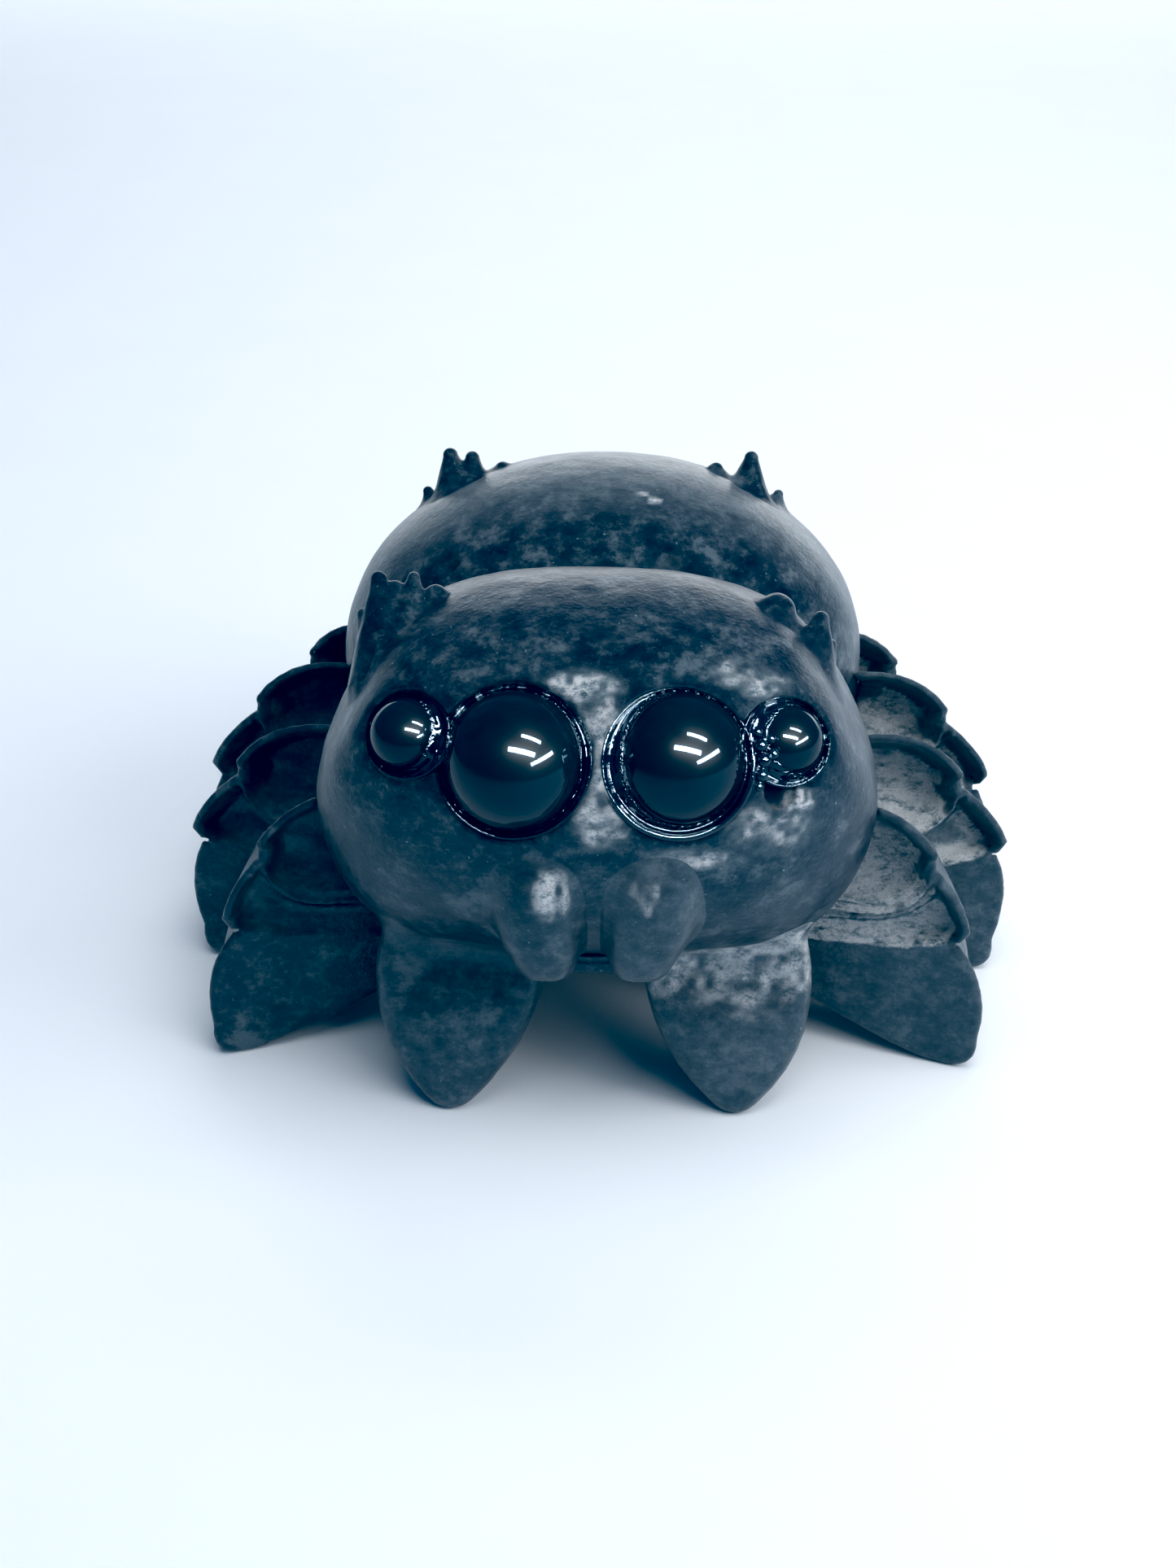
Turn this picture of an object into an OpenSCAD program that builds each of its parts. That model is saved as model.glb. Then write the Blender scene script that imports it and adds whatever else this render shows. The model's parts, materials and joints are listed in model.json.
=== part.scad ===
// Carved jumping spider with four inlaid bead eyes, in millimetres.
// The face looks along -Y and the feet stand on z = 0. The origin is on the
// ground, under the middle of the whole figure. Left is -X, as seen from the front.

/* [Head] */
// Width of the head block
head_w = 37; // [34:0.5:38]
// Depth of the head block, from the face to the waist
head_d = 25.6; // [24:0.2:27]
// Height of the head block
head_h = 24.2; // [23:0.2:26]
// Height of the head's centre above the ground
head_z = 21.4; // [21:0.1:23]
// Distance of the head's centre in front of the origin
head_ahead = 11.9; // [11:0.1:13]

/* [Abdomen] */
// Width of the abdomen
abdomen_w = 38.8; // [36:0.2:40]
// Depth of the abdomen before the head is fitted into it
abdomen_d = 30; // [28:0.2:31]
// Height of the abdomen
abdomen_h = 30.2; // [29:0.2:31]
// Height of the abdomen's centre above the ground
abdomen_z = 17.5; // [17:0.1:19]
// Distance of the abdomen's centre behind the origin
abdomen_behind = 11.1; // [10:0.1:12]

/* [Eyes] */
// Diameter of the two large beads
large_bead_d = 8.6; // [8:0.1:8.8]
// Diameter of the two small beads
small_bead_d = 4.8; // [4:0.1:5]
// Room for glue round a bead in its socket
bead_clearance = 0.2; // [0.1:0.05:0.25]
// Angle of each large socket from the middle, round the head
large_eye_turn = 17.9; // [17.5:0.1:19]
// Angle of each small socket from the middle, round the head
small_eye_turn = 46.6; // [46:0.1:50]
// Angle of all four sockets above the head's widest level
eye_lift = 28.6; // [25:0.1:30]

/* [Legs] */
// Width of the figure across the middle legs' lower knees
overall_w = 60; // [58:1:64]
// Height of the upper knee
upper_knee_z = 15.6; // [15:0.1:16.5]
// Height of the lower knee
lower_knee_z = 10; // [9:0.1:10.6]
// Height of the arch under the inner end of a leg
arch_z = 4.5; // [4:0.1:5]
// Width of the rounded rim left round a leg's hollowed faces
rim_w = 1.4; // [1:0.1:1.8]
// Depth of the hollows in a leg's front faces
hollow_depth = 0.9; // [0.5:0.1:1.3]

/* [Palps] */
// Width of a front limb
palp_w = 11; // [10:0.1:11.5]
// Height of a front limb
palp_h = 14; // [13.5:0.1:15]
// Thickness of a front limb
palp_t = 6; // [5:0.1:6.5]
// Distance of a front limb's point from the middle plane
palp_x = 9.3; // [9:0.1:9.6]

/* [Joints] */
// Diameter of the hidden dowel through the waist
waist_dowel_d = 5; // [4:0.1:6]
// Diameter of the round tenon on each leg
tenon_d = 4; // [3:0.1:4.4]
// Room left for glue between fitted pieces
glue_gap = 0.05; // [0.02:0.01:0.1]

/* [Hidden] */
$fn = 96;

left = -1;
right = 1;
head_y = -head_ahead;
abdomen_y = abdomen_behind;
head_half = [head_w, head_d, head_h] / 2;
abdomen_half = [abdomen_w, abdomen_d, abdomen_h] / 2;
head_seam_turn = 45;
abdomen_seam_turn = 90;

// The eyes look up by the same angle; the small pair also looks outwards.
gaze_lift = 30;
large_gaze_turn = 0;
small_gaze_turn = 20;
// How far a bead's centre lies below the head's surface
large_sink = 1.2;
small_sink = 0.6;
socket_reach = 12;

// Waist dowel, along Y between the two blocks
waist_dowel_z = 20;
waist_dowel_front_y = -8;
waist_dowel_l = 14;

// One row per pair of legs, front to rear: where its front face meets the
// body, how far it turns back, and its thickness. Lengths along the leg start
// at leg_root_x from the middle plane.
leg_root_x = 12;
leg_root_y = [-11.2, -3.5, 6.1, 11.2];
leg_turn = [-18, 0, 0, 15];
leg_thickness = [6.2, 7.8, 6, 6.4];
leg_reach = [
    for (shorter = [4.2, 0, 0, 2.6]) overall_w / 2 - leg_root_x - shorter
];
// Distance of the upper knee and of the foot short of the lower knee
upper_knee_back = [2.9, 4.1, 4.1, 4.1];
foot_back = [0.4, 1.5, 1.5, 1.5];
foot_length = 4;
shoulder_z = 18.4;
// Each leg's tenon: height, distance along Y, and where it ends in the body
tenon_z = [14, 14, 13, 13];
tenon_y = [-10.6, 0.4, 9.1, 15.8];
tenon_inner_x = [10, 8.5, 13, 12];
tenon_l = 6;

// Jaw lobes
jaw_half = [3.2, 3.6, 5];
jaw_x = 3.35;
jaw_y = -21.9;
jaw_z = 15.7;
jaw_cut_z = 11.4;

// Mouth plate, below and between the jaws
mouth_half_w = 2.7;
mouth_z = 10.1;

// Front limbs lean back by this angle above their points
palp_lean = 14;
palp_tip_y = -22.4;
palp_tip_sink = 0.4;
palp_belly_z = 8.4;

// Spikes of one right-hand tuft: foot, point and radius at the foot
head_spikes = [
    [[13.4, -8.7, 27.5], [14.3, -8.8, 33.2], 2.1],
    [[11.4, -8.6, 29], [12, -8.7, 33.6], 1.8],
    [[15.2, -8.8, 26], [15.9, -9, 30.8], 1.5],
    [[9.6, -8.4, 30], [9.8, -8.4, 32.4], 1.4]
];
abdomen_spikes = [
    [[10.6, 14.6, 27.4], [10.8, 14.8, 32.7], 2.4],
    [[8.8, 14.4, 28.2], [7.9, 14.5, 31.8], 2.2],
    [[12.2, 14.6, 25.4], [13, 14.8, 29.9], 2.2]
];
spike_tip_r = 0.15;

carved = "#20384a";
bead_black = "#0b1522";
dowel_brown = "#5b4636";
clear_glue = "#aebfca";

// A point on the head's surface, from its angle round the head and above
// the head's widest level.
function head_point(turn, lift) = [
    head_half.x * cos(lift) * sin(turn),
    head_y - head_half.y * cos(lift) * cos(turn),
    head_z + head_half.z * sin(lift)
];

// Points from p to q along a shallow arch that stands off to the left by rise.
function arch(p, q, rise, steps = 6) = [
    for (i = [0 : steps])
        let (t = i / steps, side = [p.y - q.y, q.x - p.x] / norm(q - p))
            p + t * (q - p) + 4 * t * (1 - t) * rise * side
];

module mirrored(side) {
    if (side == left)
        mirror([1, 0, 0]) children();
    else
        children();
}

// The seam turns keep each form's seam line clear of the holes drilled in it.
module head_form(grow = 0) {
    translate([0, head_y, head_z])
        scale(head_half + [grow, grow, grow])
            rotate([0, 0, head_seam_turn])
                sphere(r = 1);
}

module abdomen_form(grow = 0) {
    translate([0, abdomen_y, abdomen_z])
        scale(abdomen_half + [grow, grow, grow])
            rotate([0, 0, abdomen_seam_turn])
                sphere(r = 1);
}

// Puts its children at a bead's centre, with +Z along that eye's gaze.
module at_eye(turn, gaze_turn, sink, side) {
    mirrored(side)
        translate(head_point(turn, eye_lift))
            rotate([90 - gaze_lift, 0, gaze_turn])
                translate([0, 0, -sink])
                    children();
}

module at_large_eye(side) {
    at_eye(large_eye_turn, large_gaze_turn, large_sink, side) children();
}

module at_small_eye(side) {
    at_eye(small_eye_turn, small_gaze_turn, small_sink, side) children();
}

module socket(bead_d) {
    translate([0, 0, -bead_d / 2])
        cylinder(r = bead_d / 2 + bead_clearance, h = socket_reach);
}

module waist_bore(grow = 0) {
    translate([0, waist_dowel_front_y - grow, waist_dowel_z])
        rotate([-90, 0, 0])
            cylinder(d = waist_dowel_d + 2 * grow, h = waist_dowel_l + 2 * grow);
}

module tenon(pair, side, grow = 0) {
    mirrored(side)
        translate([tenon_inner_x[pair] - grow, tenon_y[pair], tenon_z[pair]])
            rotate([0, 90, 0])
                cylinder(d = tenon_d + 2 * grow, h = tenon_l + grow);
}

module head() {
    color(carved)
        difference() {
            head_form();
            for (side = [left, right]) {
                at_large_eye(side) socket(large_bead_d);
                at_small_eye(side) socket(small_bead_d);
                tenon(0, side, glue_gap);
            }
            waist_bore(glue_gap);
        }
}

module abdomen() {
    color(carved)
        difference() {
            abdomen_form();
            head_form(glue_gap);
            for (pair = [1 : 3], side = [left, right])
                tenon(pair, side, glue_gap);
            waist_bore(glue_gap);
        }
}

module waist_dowel() {
    color(dowel_brown) waist_bore();
}

module jaw_form(side, grow = 0) {
    translate([side * jaw_x, jaw_y, jaw_z])
        scale(jaw_half + [grow, grow, grow])
            sphere(r = 1);
}

module chelicera(side) {
    color(carved)
        difference() {
            jaw_form(side);
            head_form(glue_gap);
            translate([side * jaw_x - jaw_half.x - 1, jaw_y - 6, jaw_cut_z - 8])
                cube([2 * jaw_half.x + 2, 12, 8]);
        }
}

module mouth_plate() {
    color(carved)
        difference() {
            translate([-mouth_half_w, 0, 0])
                rotate([90, 0, 90])
                    linear_extrude(2 * mouth_half_w)
                        polygon(concat(
                            arch([-14, mouth_z], [-21.4, mouth_z + 0.6], -0.3),
                            [[-20.6, 13.4], [-14, 13.4]]
                        ));
            head_form(glue_gap);
            jaw_form(left, glue_gap);
            jaw_form(right, glue_gap);
        }
}

// Leaf outline: the point is at the bottom, and the widest part at palp_belly_z.
function palp_outline() = concat(
    arch([0, -palp_tip_sink], [-palp_w / 2 - 0.4, palp_belly_z + 1], 0.9),
    arch([-palp_w / 2 - 0.4, palp_belly_z + 1], [-2, palp_h], 0.8),
    arch([2, palp_h], [palp_w / 2, palp_belly_z], 0.8),
    arch([palp_w / 2, palp_belly_z], [0, -palp_tip_sink], 0.9)
);

module palp(side) {
    color(carved)
        difference() {
            mirrored(side)
                translate([palp_x, palp_tip_y, 0])
                    rotate([90 - palp_lean, 0, 0])
                        translate([0, 0, -palp_t])
                            linear_extrude(palp_t)
                                polygon(palp_outline());
            head_form(glue_gap);
            jaw_form(side, glue_gap);
            translate([side * palp_x - palp_w, palp_tip_y - 5, -10])
                cube([2 * palp_w, 20, 10]);
        }
}

// One leg seen from the front, with its root at the left. Three scallops make
// its outer edge: shoulder to upper knee, to lower knee, and down to the foot.
function leg_outline(pair, inset = 0) =
    let (
        reach = leg_reach[pair] - inset,
        knee = [reach - upper_knee_back[pair], upper_knee_z - inset],
        lower_knee = [reach, lower_knee_z - inset / 2],
        foot_x = reach - foot_back[pair]
    ) concat(
        [[0, arch_z + inset], [0, shoulder_z - 1 - inset]],
        arch([4, shoulder_z - inset], knee, 0.8),
        arch(knee + [-0.5, -0.9], lower_knee, 0.7),
        arch(lower_knee + [-0.5, -0.8], [foot_x, 0], 0.6),
        arch([foot_x - foot_length, 0], [2, arch_z + inset], -0.8)
    );

// The hollow between the shoulder and the upper knee
function upper_hollow(pair) =
    let (knee_x = leg_reach[pair] - upper_knee_back[pair]) concat(
        arch([3, shoulder_z - rim_w], [knee_x - rim_w, upper_knee_z - 0.8], 0.7),
        arch([knee_x - rim_w - 0.4, upper_knee_z - 2], [3, 11.4], 0.8)
    );

// The hollow from the upper knee down to the foot
function lower_hollow(pair) =
    let (
        reach = leg_reach[pair],
        knee_x = reach - upper_knee_back[pair],
        foot_x = reach - foot_back[pair] - rim_w
    ) concat(
        arch([3, 10], [knee_x - 0.8, upper_knee_z - 2.6], -0.8),
        arch([knee_x - 0.4, upper_knee_z - 2.4], [reach - rim_w, lower_knee_z - 0.4], 0.5),
        arch([reach - rim_w - 0.2, lower_knee_z - 1], [foot_x, 2], 0.4),
        arch([foot_x - 3, 1.6], [3, arch_z + 1.2], -0.6)
    );

// The block of one right-hand leg: a front band with the full outline, and a
// narrower band behind it.
module leg_block(pair) {
    thickness = leg_thickness[pair];
    front_band = 0.6 * thickness;
    translate([leg_root_x, leg_root_y[pair], 0])
        rotate([90, 0, leg_turn[pair]])
            difference() {
                union() {
                    translate([0, 0, -front_band])
                        linear_extrude(front_band)
                            polygon(leg_outline(pair));
                    translate([0, 0, -thickness])
                        linear_extrude(thickness - front_band)
                            polygon(leg_outline(pair, 0.9));
                }
                translate([0, 0, -hollow_depth]) {
                    linear_extrude(hollow_depth + 1)
                        polygon(upper_hollow(pair));
                    linear_extrude(hollow_depth + 1)
                        polygon(lower_hollow(pair));
                }
            }
}

module leg(pair, side) {
    color(carved) {
        difference() {
            mirrored(side) leg_block(pair);
            if (pair <= 1)
                head_form(glue_gap);
            if (pair >= 1)
                abdomen_form(glue_gap);
        }
        tenon(pair, side);
    }
}

// A cone from a foot to a point.
module spike(foot, tip, r) {
    along = tip - foot;
    translate(foot)
        rotate([0, acos(along.z / norm(along)), atan2(along.y, along.x)])
            cylinder(r1 = r, r2 = spike_tip_r, h = norm(along));
}

module spikes(list, side) {
    mirrored(side)
        for (row = list)
            spike(row[0], row[1], row[2]);
}

module head_tuft(side) {
    color(carved)
        difference() {
            spikes(head_spikes, side);
            head_form(glue_gap);
        }
}

module abdomen_tuft(side) {
    color(carved)
        difference() {
            spikes(abdomen_spikes, side);
            abdomen_form(glue_gap);
        }
}

module bead(bead_d) {
    color(bead_black) sphere(d = bead_d);
}

// The ring of glue that fills the room round a bead, at the bead's widest part.
module glue_ring(bead_d) {
    ring_h = 1.2;
    color(clear_glue)
        rotate_extrude()
            difference() {
                translate([0, -ring_h / 2])
                    square([bead_d / 2 + bead_clearance, ring_h]);
                circle(d = bead_d);
            }
}

module eye_large(side) { at_large_eye(side) bead(large_bead_d); }
module eye_small(side) { at_small_eye(side) bead(small_bead_d); }
module glue_large(side) { at_large_eye(side) glue_ring(large_bead_d); }
module glue_small(side) { at_small_eye(side) glue_ring(small_bead_d); }

head();
abdomen();
waist_dowel();
chelicera(left);  // chelicera_left
chelicera(right);  // chelicera_right
mouth_plate();
palp(left);  // palp_left
palp(right);  // palp_right
leg(0, left);  // leg_front_left
leg(0, right);  // leg_front_right
leg(1, left);  // leg_second_left
leg(1, right);  // leg_second_right
leg(2, left);  // leg_third_left
leg(2, right);  // leg_third_right
leg(3, left);  // leg_rear_left
leg(3, right);  // leg_rear_right
head_tuft(left);  // head_tuft_left
head_tuft(right);  // head_tuft_right
abdomen_tuft(left);  // abdomen_tuft_left
abdomen_tuft(right);  // abdomen_tuft_right
eye_large(left);  // eye_large_left
eye_large(right);  // eye_large_right
eye_small(left);  // eye_small_left
eye_small(right);  // eye_small_right
glue_large(left);  // glue_large_left
glue_large(right);  // glue_large_right
glue_small(left);  // glue_small_left
glue_small(right);  // glue_small_right
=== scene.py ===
"""Looks of a carved jumping spider with bead eyes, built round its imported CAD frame.

Every carved piece is a signed distance field, negative inside, that is turned into a mesh and
then into metres. Lengths are in millimetres until a mesh is made. Left is -X, right is +X.
"""

import json
import math

import bpy
import numpy as np
from mathutils import Matrix, Vector

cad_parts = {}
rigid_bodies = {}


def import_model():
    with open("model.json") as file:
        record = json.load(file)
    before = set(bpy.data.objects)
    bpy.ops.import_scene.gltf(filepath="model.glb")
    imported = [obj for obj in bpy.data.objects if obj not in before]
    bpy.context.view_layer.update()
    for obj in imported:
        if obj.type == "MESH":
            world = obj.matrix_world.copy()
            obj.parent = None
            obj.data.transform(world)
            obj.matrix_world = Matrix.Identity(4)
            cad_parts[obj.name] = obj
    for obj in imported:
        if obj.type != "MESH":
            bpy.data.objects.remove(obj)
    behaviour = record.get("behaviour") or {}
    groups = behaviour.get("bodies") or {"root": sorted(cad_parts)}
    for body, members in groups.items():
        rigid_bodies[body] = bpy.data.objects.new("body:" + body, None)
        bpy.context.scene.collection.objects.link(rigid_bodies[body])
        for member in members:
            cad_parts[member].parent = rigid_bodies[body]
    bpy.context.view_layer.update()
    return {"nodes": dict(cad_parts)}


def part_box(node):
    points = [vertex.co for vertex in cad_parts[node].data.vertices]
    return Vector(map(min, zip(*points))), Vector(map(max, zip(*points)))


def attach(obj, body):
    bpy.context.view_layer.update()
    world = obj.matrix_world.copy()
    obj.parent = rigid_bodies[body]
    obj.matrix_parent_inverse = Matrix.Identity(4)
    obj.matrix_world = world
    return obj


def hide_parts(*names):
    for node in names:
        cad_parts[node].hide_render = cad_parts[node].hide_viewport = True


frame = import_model()

MM = 0.001
GROUND = 0.02  # the figure is cut off level just above the floor, in millimetres
SIDES = {"left": -1.0, "right": 1.0}
PAIRS = ("front", "second", "third", "rear")
HEAD_LONG = 1.058  # the head's length as a share of its height
ABDOMEN_HALF_LONG = 15.0


# ---------------------------------------------------------------- sizes from the frame
def box_mm(node):
    """Lowest and highest corner of a CAD node, in millimetres."""
    low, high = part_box(node)
    return np.array(low) / MM, np.array(high) / MM


# The head and abdomen are near ellipsoids: half sizes and middles
head_low, head_high = box_mm("head")
head_rise = (head_high[2] - head_low[2]) / 2
HEAD_HALF = np.array([head_high[0], HEAD_LONG * head_rise, head_rise])
HEAD_MID = np.array([0.0, head_low[1] + HEAD_HALF[1], 0.5 * (head_high[2] + head_low[2])])
abdomen_low, abdomen_high = box_mm("abdomen")
ABDOMEN_HALF = np.array([abdomen_high[0], ABDOMEN_HALF_LONG, 0.5 * (abdomen_high[2] - abdomen_low[2])])
ABDOMEN_MID = np.array([0.0, abdomen_high[1] - ABDOMEN_HALF[1], 0.5 * (abdomen_high[2] + abdomen_low[2])])
# The beads are set into the face along one direction, forwards and up
GAZE_RISE = math.radians(30)
GAZE = np.array([0.0, -math.cos(GAZE_RISE), math.sin(GAZE_RISE)])


# ---------------------------------------------------------------- distance fields
def smooth_step(x):
    x = np.clip(x, 0.0, 1.0)
    return x * x * (3.0 - 2.0 * x)


def join(a, b, soft):
    """Union of two fields with a fillet of size soft."""
    h = np.clip(0.5 + 0.5 * (b - a) / soft, 0.0, 1.0)
    return b * (1.0 - h) + a * h - soft * h * (1.0 - h)


def meet(a, b, soft):
    """Intersection of two fields with an edge rounded by soft."""
    return -join(-a, -b, soft)


def ball(p, mid, r):
    return np.linalg.norm(p - mid, axis=-1) - r


def egg(p, mid, half, power=2.0):
    """Ellipsoid, or a boxier one for a power above 2."""
    q = np.abs(p - mid) / half + 1e-6
    k = np.sum(q**power, axis=-1) ** (1.0 / power)
    slope = np.linalg.norm(q ** (power - 1.0) / half, axis=-1) * k ** (1.0 - power)
    return (k - 1.0) / np.maximum(slope, 0.02)


def cone(p, foot, tip, foot_r, tip_r):
    """Round-ended cone from foot to tip."""
    foot = np.asarray(foot, float)
    along = np.asarray(tip, float) - foot
    t = np.clip((p - foot) @ along / (along @ along), 0.0, 1.0)
    return np.linalg.norm(p - foot - t[..., None] * along, axis=-1) - (foot_r + (tip_r - foot_r) * t)


def outline_field(u, w, points):
    """Signed distance from points (u, w) to a closed outline."""
    pts = np.asarray(points, float)
    best = np.full(u.shape, 1e9)
    inside = np.zeros(u.shape, bool)
    for (ax, ay), (bx, by) in zip(pts, np.roll(pts, -1, axis=0)):
        ex, ey = bx - ax, by - ay
        dx, dy = u - ax, w - ay
        t = np.clip((dx * ex + dy * ey) / (ex * ex + ey * ey + 1e-12), 0.0, 1.0)
        best = np.minimum(best, (dx - ex * t) ** 2 + (dy - ey * t) ** 2)
        crosses = (ay > w) != (by > w)
        inside ^= crosses & (dx < ex * (w - ay) / (ey if abs(ey) > 1e-9 else 1e-9))
    return np.where(inside, -1.0, 1.0) * np.sqrt(best)


def arch(p, q, rise, steps=7):
    """Points from p to q along a shallow arch that stands off to the left by rise."""
    p, q = np.asarray(p, float), np.asarray(q, float)
    side = np.array([p[1] - q[1], q[0] - p[0]]) / np.linalg.norm(q - p)
    return [p + t * (q - p) + 4 * t * (1 - t) * rise * side for t in np.linspace(0, 1, steps)]


LATTICE = 64  # cells along each side of the repeating block of random values
lattice = np.random.default_rng(7).random((LATTICE, LATTICE, LATTICE)).astype(np.float32) * 2 - 1


def noise(p, size, seed=0.0):
    """Smooth noise from -1 to 1 with features about size across."""
    q = p / size + seed
    cell = np.floor(q).astype(np.int64)
    f = q - cell
    f = f * f * (3.0 - 2.0 * f)
    total = np.zeros(p.shape[:-1])
    for dx in (0, 1):
        for dy in (0, 1):
            for dz in (0, 1):
                ix, iy, iz = ((cell[..., i] + step) % LATTICE for i, step in enumerate((dx, dy, dz)))
                wx = f[..., 0] if dx else 1.0 - f[..., 0]
                wy = f[..., 1] if dy else 1.0 - f[..., 1]
                wz = f[..., 2] if dz else 1.0 - f[..., 2]
                total += wx * wy * wz * lattice[ix, iy, iz]
    return total


# What a knife and sandpaper leave: depth and width of the waves, and a seed for each
TOOL_MARKS = ((0.09, 4.2, 0.0), (0.04, 1.7, 11.3), (0.012, 0.6, 5.1))


def hand_cut(p):
    """The unevenness of a carved surface, in millimetres."""
    return sum(depth * noise(p, width, seed) for depth, width, seed in TOOL_MARKS)


# ---------------------------------------------------------------- field to mesh
def sample(field, low, pitch, cells):
    """Field on a grid, worked out only near the surface."""
    block = 4
    n = np.ceil(np.array(cells) / block).astype(int)
    axes = [low[i] + (np.arange(n[i]) * block + (block - 1) / 2) * pitch for i in range(3)]
    coarse = field(np.stack(np.meshgrid(*axes, indexing="ij"), -1).reshape(-1, 3)).reshape(n)
    near = np.abs(coarse) < block * pitch * 1.7
    for axis in range(3):
        coarse = np.repeat(coarse, block, axis=axis)
        near = np.repeat(near, block, axis=axis)
    where = np.argwhere(near)
    values = coarse
    values[tuple(where.T)] = field(low + where * pitch)
    return values


def slope_of(field, p, step=0.02):
    g = np.empty_like(p)
    for axis in range(3):
        d = np.zeros(3)
        d[axis] = step
        g[:, axis] = (field(p + d) - field(p - d)) / (2 * step)
    return g


def settle(field, p, rounds):
    """Moves points onto the field's surface."""
    for _ in range(rounds):
        g = slope_of(field, p)
        move = (field(p) / np.maximum((g * g).sum(-1), 0.05))[:, None] * g
        p = p - np.clip(move, -0.4, 0.4)
    return p


def surface(field, low, high, pitch):
    """Points and quads of the field's zero surface inside a box."""
    low = np.asarray(low, float) - 2.5 * pitch
    cells = np.ceil((np.asarray(high, float) + 2.5 * pitch - low) / pitch).astype(int)
    inside = sample(field, low, pitch, cells) < 0
    corners = np.zeros(np.array(inside.shape) - 1, np.int8)
    n = corners.shape
    for dx in (0, 1):
        for dy in (0, 1):
            for dz in (0, 1):
                corners += inside[dx : dx + n[0], dy : dy + n[1], dz : dz + n[2]]
    cell = (corners > 0) & (corners < 8)
    number = np.full(n, -1, np.int64)
    number[cell] = np.arange(cell.sum())
    points = low + (np.argwhere(cell) + 0.5) * pitch
    quads = []
    for axis in range(3):
        a = np.moveaxis(inside, axis, 0)
        ids = np.moveaxis(number, axis, 0)
        change = a[:-1] != a[1:]
        change[:, 0, :] = change[:, -1, :] = False
        change[:, :, 0] = change[:, :, -1] = False
        i, j, k = np.nonzero(change)
        ring = np.stack([ids[i, j - 1, k - 1], ids[i, j, k - 1], ids[i, j, k], ids[i, j - 1, k]], -1)
        flip = a[i, j, k] if axis != 1 else ~a[i, j, k]
        quads.append(np.where(flip[:, None], ring, ring[:, ::-1]))
    quads = np.concatenate(quads)
    total = np.zeros_like(points)
    count = np.zeros(len(points))
    for a, b in ((0, 1), (1, 2), (2, 3), (3, 0)):
        np.add.at(total, quads[:, a], points[quads[:, b]])
        np.add.at(count, quads[:, a], 1)
    points = total / np.maximum(count, 1)[:, None]
    return settle(field, points, 4), quads


def carve(name, field, low, high, pitch, material, raw_and_lit_share=None):
    """A mesh piece of a field. The share function gives each point, from its place and the field's slope
    there, its share of unpolished surface and of painted light: pale raw wood, painted glints and
    light painted from the right and from behind."""
    points, quads = surface(field, low, high, pitch * (1.0))
    mesh = bpy.data.meshes.new(name)
    mesh.from_pydata(points * MM, [], quads.tolist())
    mesh.validate()
    mesh.update()
    mesh.polygons.foreach_set("use_smooth", np.ones(len(mesh.polygons), bool))
    share = np.zeros(len(points)) if raw_and_lit_share is None else raw_and_lit_share(points, slope_of(field, points))
    mesh.attributes.new("raw_wood_and_painted_light", "FLOAT", "POINT").data.foreach_set("value", share.astype(np.float32))
    mesh.materials.append(material)
    piece = bpy.data.objects.new(name, mesh)
    bpy.context.scene.collection.objects.link(piece)
    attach(piece, "root")
    return piece


# ---------------------------------------------------------------- materials
def shader(name):
    material = bpy.data.materials.new(name)
    material.use_nodes = True
    tree = material.node_tree
    return material, tree, tree.nodes["Principled BSDF"]


def node(tree, kind, inputs=None, **settings):
    made = tree.nodes.new(kind)
    for key, value in settings.items():
        setattr(made, key, value)
    for key, value in (inputs or {}).items():
        if isinstance(value, bpy.types.NodeSocket):
            tree.links.new(value, made.inputs[key])
        else:
            made.inputs[key].default_value = value
    return made


def ramp(tree, factor, stops):
    made = node(tree, "ShaderNodeValToRGB", {"Fac": factor})
    elements = made.color_ramp.elements
    for i, (place, colour) in enumerate(stops):
        element = elements[i] if i < 2 else elements.new(place)
        element.position = place
        element.color = (*colour, 1.0)
    return made.outputs["Color"]


def noise_node(tree, where, size, detail=4.0, roughness=0.6, stretch=None, swirl=0.0):
    """Noise from 0 to 1 with features of about the given size in millimetres."""
    if stretch is not None:
        where = node(tree, "ShaderNodeMapping", {"Vector": where, "Scale": stretch}).outputs["Vector"]
    settings = {"Vector": where, "Scale": 1.0 / (size * MM), "Detail": detail, "Roughness": roughness}
    return node(tree, "ShaderNodeTexNoise", {**settings, "Distortion": swirl}).outputs["Fac"]


def mix(tree, factor, a, b, kind="MIX"):
    made = node(tree, "ShaderNodeMix", data_type="RGBA", blend_type=kind)
    for socket, value in zip((made.inputs[0], made.inputs[6], made.inputs[7]), (factor, a, b)):
        if isinstance(value, bpy.types.NodeSocket):
            tree.links.new(value, socket)
        else:
            socket.default_value = value
    return made.outputs[2]


def bump(tree, height, depth, strength, below=None):
    """A bump of the given depth in millimetres, on top of another one if there is one."""
    made = node(tree, "ShaderNodeBump", {"Height": height, "Distance": depth * MM, "Strength": strength})
    if below is not None:
        tree.links.new(below, made.inputs["Normal"])
    return made.outputs["Normal"]


BLACK, WHITE = (0.0, 0.0, 0.0), (1.0, 1.0, 1.0)


def faded(tree, mask, share, strong):
    """A mask at full strength where strong is 1, and at only a share of it where strong is 0."""
    return mix(tree, strong, mix(tree, 1.0 - share, mask, (*BLACK, 1.0)), mask)


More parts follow.
